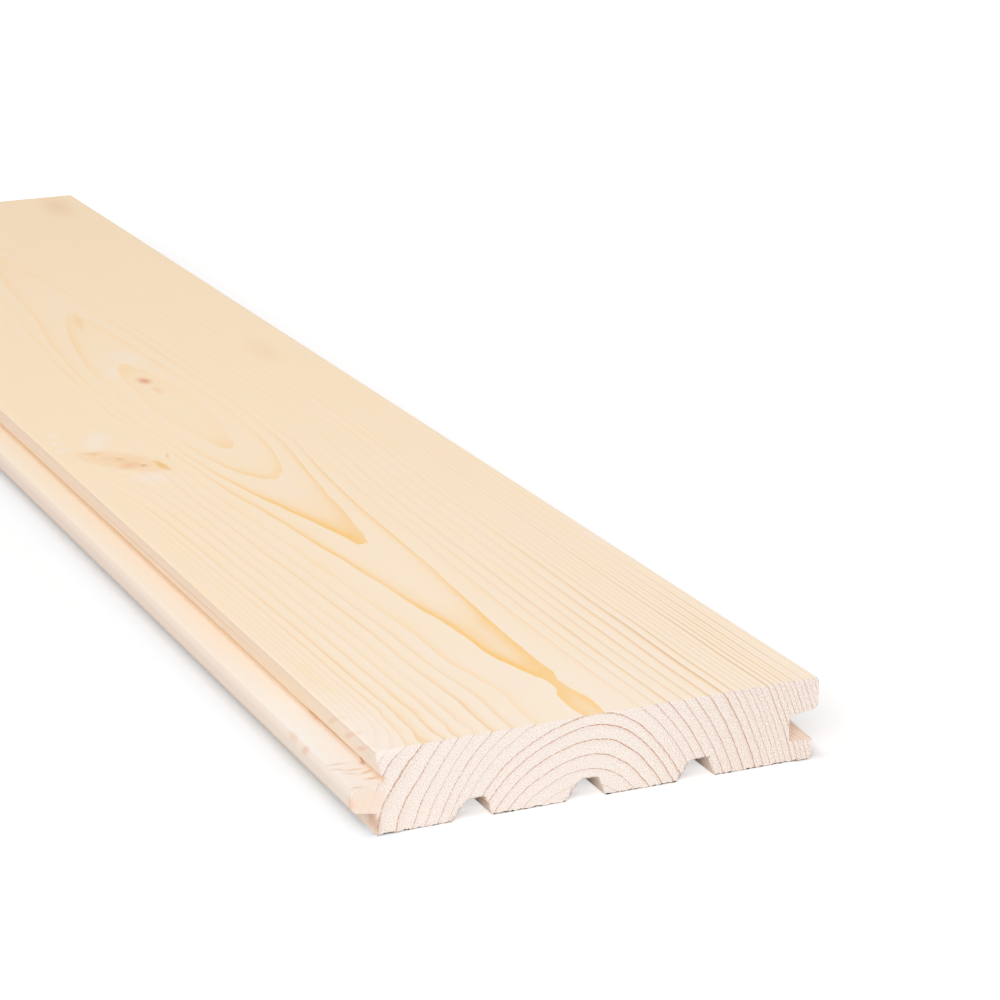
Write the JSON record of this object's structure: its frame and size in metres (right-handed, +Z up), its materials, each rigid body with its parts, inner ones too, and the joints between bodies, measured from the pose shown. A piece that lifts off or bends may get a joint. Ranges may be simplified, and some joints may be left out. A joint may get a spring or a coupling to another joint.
{
  "type": "floorboard",
  "caption": "Planed softwood floorboard with a tapered tongue along one edge, a matching groove along the other and relief channels along the underside.",
  "frame": {"origin": "middle of the bounding box on the plane that the underside rests on", "axes": "+Y along the board, +Z up through its face, +X from the tongue to the groove"},
  "size_m": [0.1446, 0.76, 0.025],
  "materials": {
    "softwood": "planed, untreated"
  },
  "bodies": {
    "root": {"floorboard": "softwood"}
  },
  "joints": []
}
